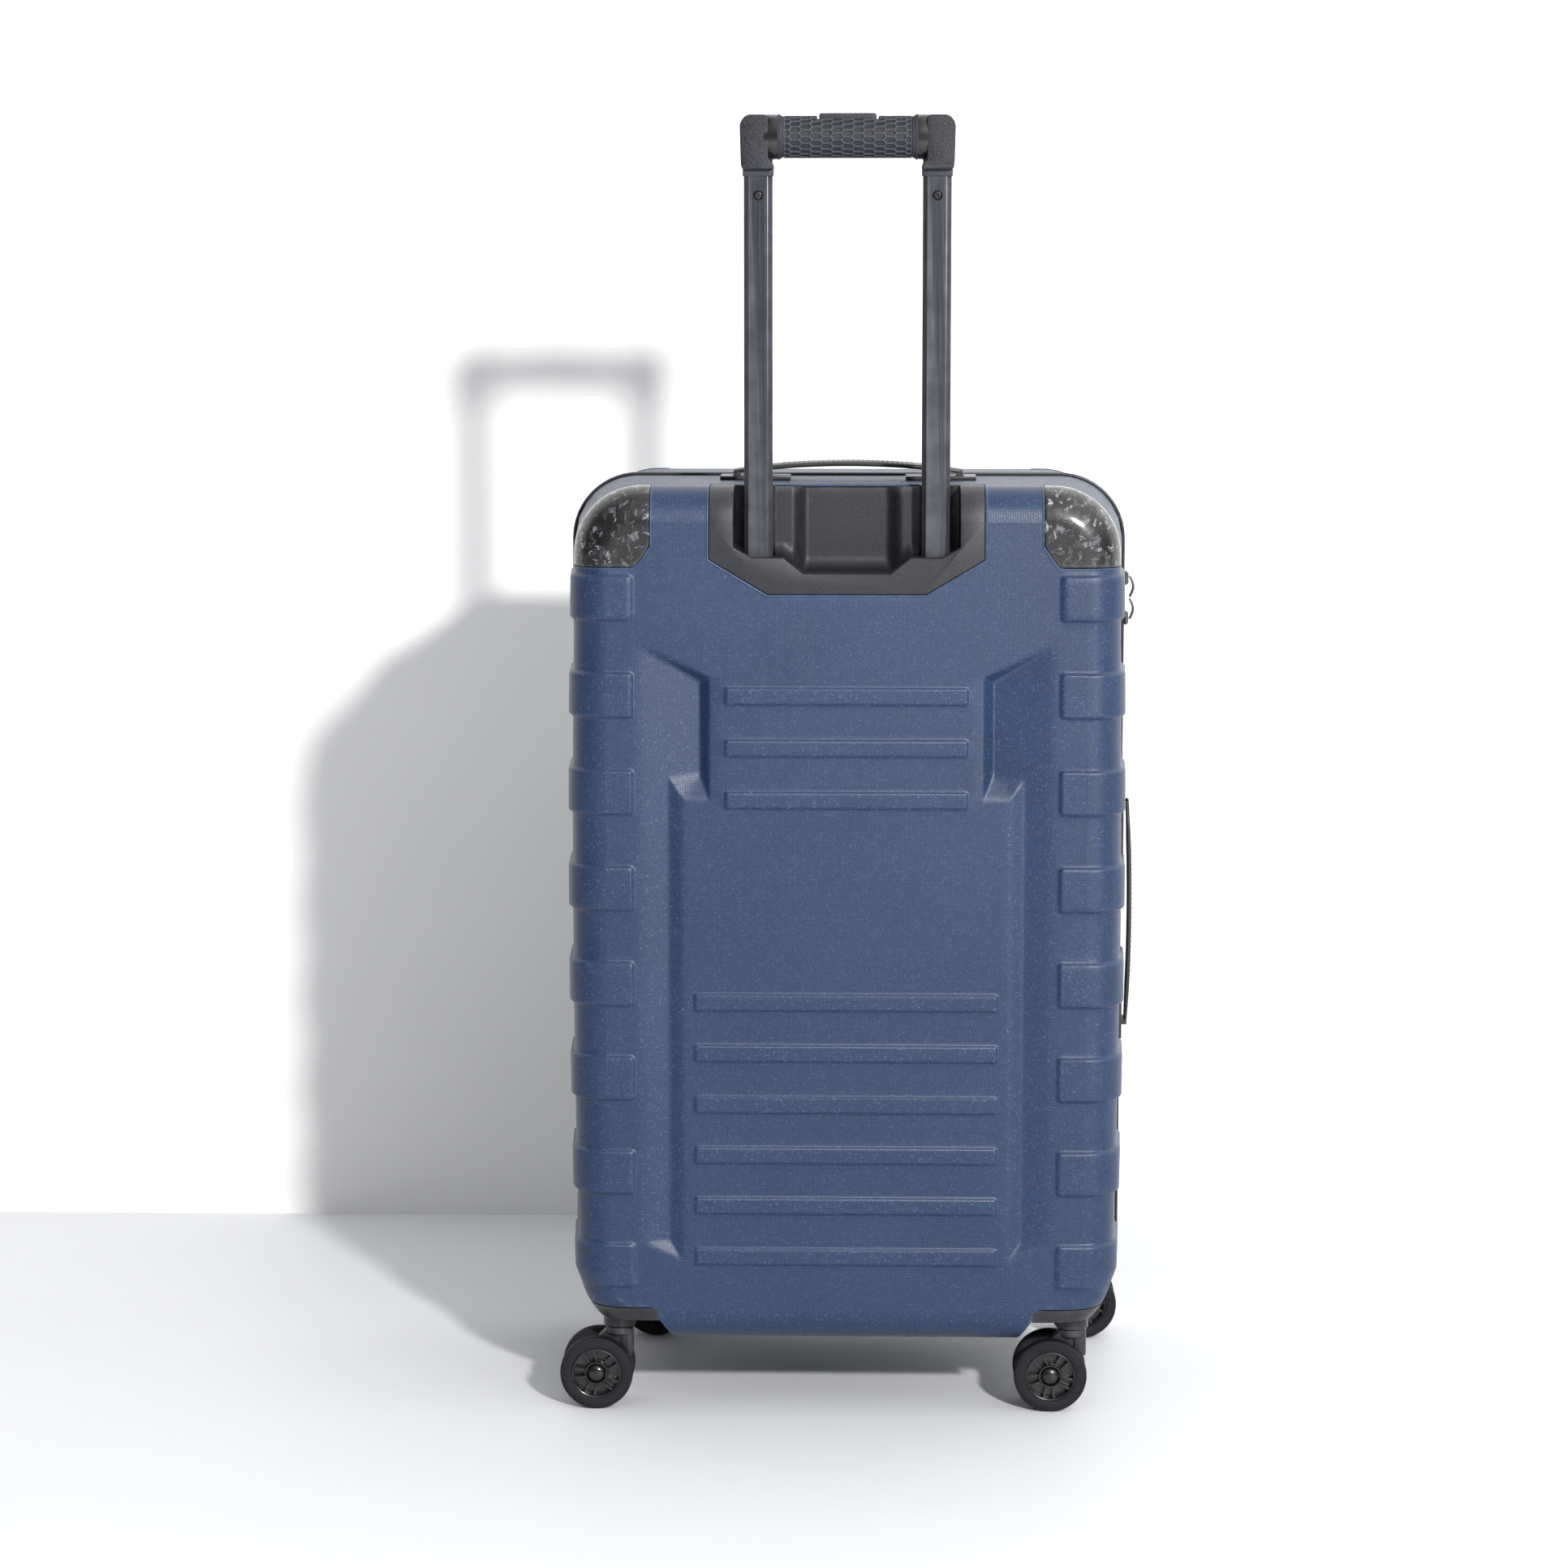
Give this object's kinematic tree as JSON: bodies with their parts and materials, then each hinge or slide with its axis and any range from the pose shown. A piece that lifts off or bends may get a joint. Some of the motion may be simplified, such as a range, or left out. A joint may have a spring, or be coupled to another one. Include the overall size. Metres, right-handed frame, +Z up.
{
  "type": "hard shell suitcase on wheels",
  "caption": "Upright hard shell suitcase with a telescopic trolley handle, ribbed half shells, zip closure, carry handles and swivelling twin-wheel casters.",
  "frame": {"origin": "on the floor, under the middle of the case's body", "axes": "+Z up; -Y is the back of the case, where the trolley handle is, and +Y the front half, which opens; +X is to the right when one looks at the back"},
  "size_m": [0.4701, 0.3084, 1.0468],
  "materials": {
    "shell": "textured satin, navy",
    "carbon": "glossy marbled carbon flakes",
    "black_plastic": "fine matte grain",
    "tube_alloy": "satin dark anodised",
    "grip_rubber": "matte, honeycomb",
    "strap_rubber": "soft satin",
    "black_steel": "black plated",
    "zip_tape": "woven tape with piping",
    "lining": "woven polyester",
    "hub_plastic": "satin black",
    "tyre_rubber": "matte"
  },
  "bodies": {
    "back_case": {"back_shell": "shell", "corner_guard_back_left": "carbon", "corner_guard_back_right": "carbon", "handle_tray": "black_plastic", "outer_tube_left": "tube_alloy", "outer_tube_right": "tube_alloy", "tube_foot_bracket": "black_plastic", "top_handle_base": "black_plastic", "side_handle_base": "black_plastic", "zip_back": "zip_tape", "lining_back": "lining", "caster_housing_back_left": "black_plastic", "caster_housing_back_right": "black_plastic"},
    "front_case": {"front_shell": "shell", "corner_guard_front_left": "carbon", "corner_guard_front_right": "carbon", "zip_front": "zip_tape", "lock_housing": "black_plastic", "lining_front": "lining", "divider_panel": "lining", "caster_housing_front_left": "black_plastic", "caster_housing_front_right": "black_plastic"},
    "trolley": {"inner_tube_left": "tube_alloy", "inner_tube_right": "tube_alloy", "grip_core": "black_plastic", "grip_sleeve": "grip_rubber", "tube_screw_left": "black_steel", "tube_screw_right": "black_steel"},
    "release_button": {"push_button": "black_plastic", "release_yoke": "tube_alloy"},
    "top_carry_handle": {"top_handle": "strap_rubber"},
    "side_carry_handle": {"side_handle": "strap_rubber"},
    "slider_upper": {"zip_slider_upper": "black_steel"},
    "slider_lower": {"zip_slider_lower": "black_steel"},
    "pull_upper": {"zip_pull_upper": "black_steel"},
    "pull_lower": {"zip_pull_lower": "black_steel"},
    "dial_1": {"lock_dial_1": "black_steel"},
    "dial_2": {"lock_dial_2": "black_steel"},
    "dial_3": {"lock_dial_3": "black_steel"},
    "latch": {"lock_latch": "black_steel"},
    "caster_back_left": {"caster_fork_back_left": "black_plastic"},
    "wheel_back_left_outer": {"hub_back_left_outer": "hub_plastic", "tyre_back_left_outer": "tyre_rubber"},
    "wheel_back_left_inner": {"hub_back_left_inner": "hub_plastic", "tyre_back_left_inner": "tyre_rubber"},
    "caster_back_right": {"caster_fork_back_right": "black_plastic"},
    "wheel_back_right_outer": {"hub_back_right_outer": "hub_plastic", "tyre_back_right_outer": "tyre_rubber"},
    "wheel_back_right_inner": {"hub_back_right_inner": "hub_plastic", "tyre_back_right_inner": "tyre_rubber"},
    "caster_front_left": {"caster_fork_front_left": "black_plastic"},
    "wheel_front_left_outer": {"hub_front_left_outer": "hub_plastic", "tyre_front_left_outer": "tyre_rubber"},
    "wheel_front_left_inner": {"hub_front_left_inner": "hub_plastic", "tyre_front_left_inner": "tyre_rubber"},
    "caster_front_right": {"caster_fork_front_right": "black_plastic"},
    "wheel_front_right_outer": {"hub_front_right_outer": "hub_plastic", "tyre_front_right_outer": "tyre_rubber"},
    "wheel_front_right_inner": {"hub_front_right_inner": "hub_plastic", "tyre_front_right_inner": "tyre_rubber"}
  },
  "joints": [
    {"name": "lid_hinge", "type": "hinge", "parent": "back_case", "child": "front_case", "pos_m": [-0.229, 0, 0], "axis": [0, 0, 1], "range_deg": [0, 180]},
    {"name": "trolley_slide", "type": "slide", "parent": "back_case", "child": "trolley", "axis": [0, 0, 1], "range_m": [-0.293, 0]},
    {"name": "button_press", "type": "slide", "parent": "trolley", "child": "release_button", "axis": [0, 0, -1], "range_m": [0, 0.004], "stiffness_N_per_m": 400, "springref_m": -0.006},
    {"name": "top_handle_lift", "type": "slide", "parent": "back_case", "child": "top_carry_handle", "axis": [0, 0, 1], "range_m": [0, 0.008], "stiffness_N_per_m": 300, "springref_m": -0.004},
    {"name": "side_handle_pull", "type": "slide", "parent": "back_case", "child": "side_carry_handle", "axis": [1, 0, 0], "range_m": [0, 0.008], "stiffness_N_per_m": 300, "springref_m": -0.004},
    {"name": "zip_slider_upper_run", "type": "slide", "parent": "back_case", "child": "slider_upper", "axis": [0, 0, 1], "range_m": [0, 0.022]},
    {"name": "zip_slider_lower_run", "type": "slide", "parent": "back_case", "child": "slider_lower", "axis": [0, 0, 1], "range_m": [-0.5, 0]},
    {"name": "zip_pull_upper_swing", "type": "hinge", "parent": "slider_upper", "child": "pull_upper", "pos_m": [0.233, 0, 0.672], "axis": [0, -1, 0], "range_deg": [0, 150]},
    {"name": "zip_pull_lower_swing", "type": "hinge", "parent": "slider_lower", "child": "pull_lower", "pos_m": [0.233, 0, 0.639], "axis": [0, 1, 0], "range_deg": [0, 150]},
    {"name": "dial_1_turn", "type": "hinge", "parent": "front_case", "child": "dial_1", "pos_m": [0.22165, 0.023, 0.633], "axis": [0, 0, 1], "continuous": true},
    {"name": "dial_2_turn", "type": "hinge", "parent": "front_case", "child": "dial_2", "pos_m": [0.22165, 0.023, 0.6405], "axis": [0, 0, 1], "continuous": true},
    {"name": "dial_3_turn", "type": "hinge", "parent": "front_case", "child": "dial_3", "pos_m": [0.22165, 0.023, 0.648], "axis": [0, 0, 1], "continuous": true},
    {"name": "latch_slide", "type": "slide", "parent": "front_case", "child": "latch", "axis": [0, 0, -1], "range_m": [0, 0.005], "stiffness_N_per_m": 300, "springref_m": -0.003},
    {"name": "caster_back_left_swivel", "type": "hinge", "parent": "back_case", "child": "caster_back_left", "pos_m": [-0.1855, -0.113, 0.07], "axis": [0, 0, 1], "continuous": true},
    {"name": "wheel_back_left_outer_spin", "type": "hinge", "parent": "caster_back_left", "child": "wheel_back_left_outer", "pos_m": [-0.2037, -0.129, 0.0298], "axis": [0, 1, 0], "continuous": true},
    {"name": "wheel_back_left_inner_spin", "type": "hinge", "parent": "caster_back_left", "child": "wheel_back_left_inner", "pos_m": [-0.2037, -0.097, 0.0298], "axis": [0, 1, 0], "continuous": true},
    {"name": "caster_back_right_swivel", "type": "hinge", "parent": "back_case", "child": "caster_back_right", "pos_m": [0.1855, -0.113, 0.07], "axis": [0, 0, 1], "continuous": true},
    {"name": "wheel_back_right_outer_spin", "type": "hinge", "parent": "caster_back_right", "child": "wheel_back_right_outer", "pos_m": [0.1673, -0.129, 0.0298], "axis": [0, 1, 0], "continuous": true},
    {"name": "wheel_back_right_inner_spin", "type": "hinge", "parent": "caster_back_right", "child": "wheel_back_right_inner", "pos_m": [0.1673, -0.097, 0.0298], "axis": [0, 1, 0], "continuous": true},
    {"name": "caster_front_left_swivel", "type": "hinge", "parent": "front_case", "child": "caster_front_left", "pos_m": [-0.1855, 0.113, 0.07], "axis": [0, 0, 1], "continuous": true},
    {"name": "wheel_front_left_outer_spin", "type": "hinge", "parent": "caster_front_left", "child": "wheel_front_left_outer", "pos_m": [-0.1673, 0.129, 0.0298], "axis": [0, 1, 0], "continuous": true},
    {"name": "wheel_front_left_inner_spin", "type": "hinge", "parent": "caster_front_left", "child": "wheel_front_left_inner", "pos_m": [-0.1673, 0.097, 0.0298], "axis": [0, 1, 0], "continuous": true},
    {"name": "caster_front_right_swivel", "type": "hinge", "parent": "front_case", "child": "caster_front_right", "pos_m": [0.1855, 0.113, 0.07], "axis": [0, 0, 1], "continuous": true},
    {"name": "wheel_front_right_outer_spin", "type": "hinge", "parent": "caster_front_right", "child": "wheel_front_right_outer", "pos_m": [0.2037, 0.129, 0.0298], "axis": [0, 1, 0], "continuous": true},
    {"name": "wheel_front_right_inner_spin", "type": "hinge", "parent": "caster_front_right", "child": "wheel_front_right_inner", "pos_m": [0.2037, 0.097, 0.0298], "axis": [0, 1, 0], "continuous": true}
  ]
}
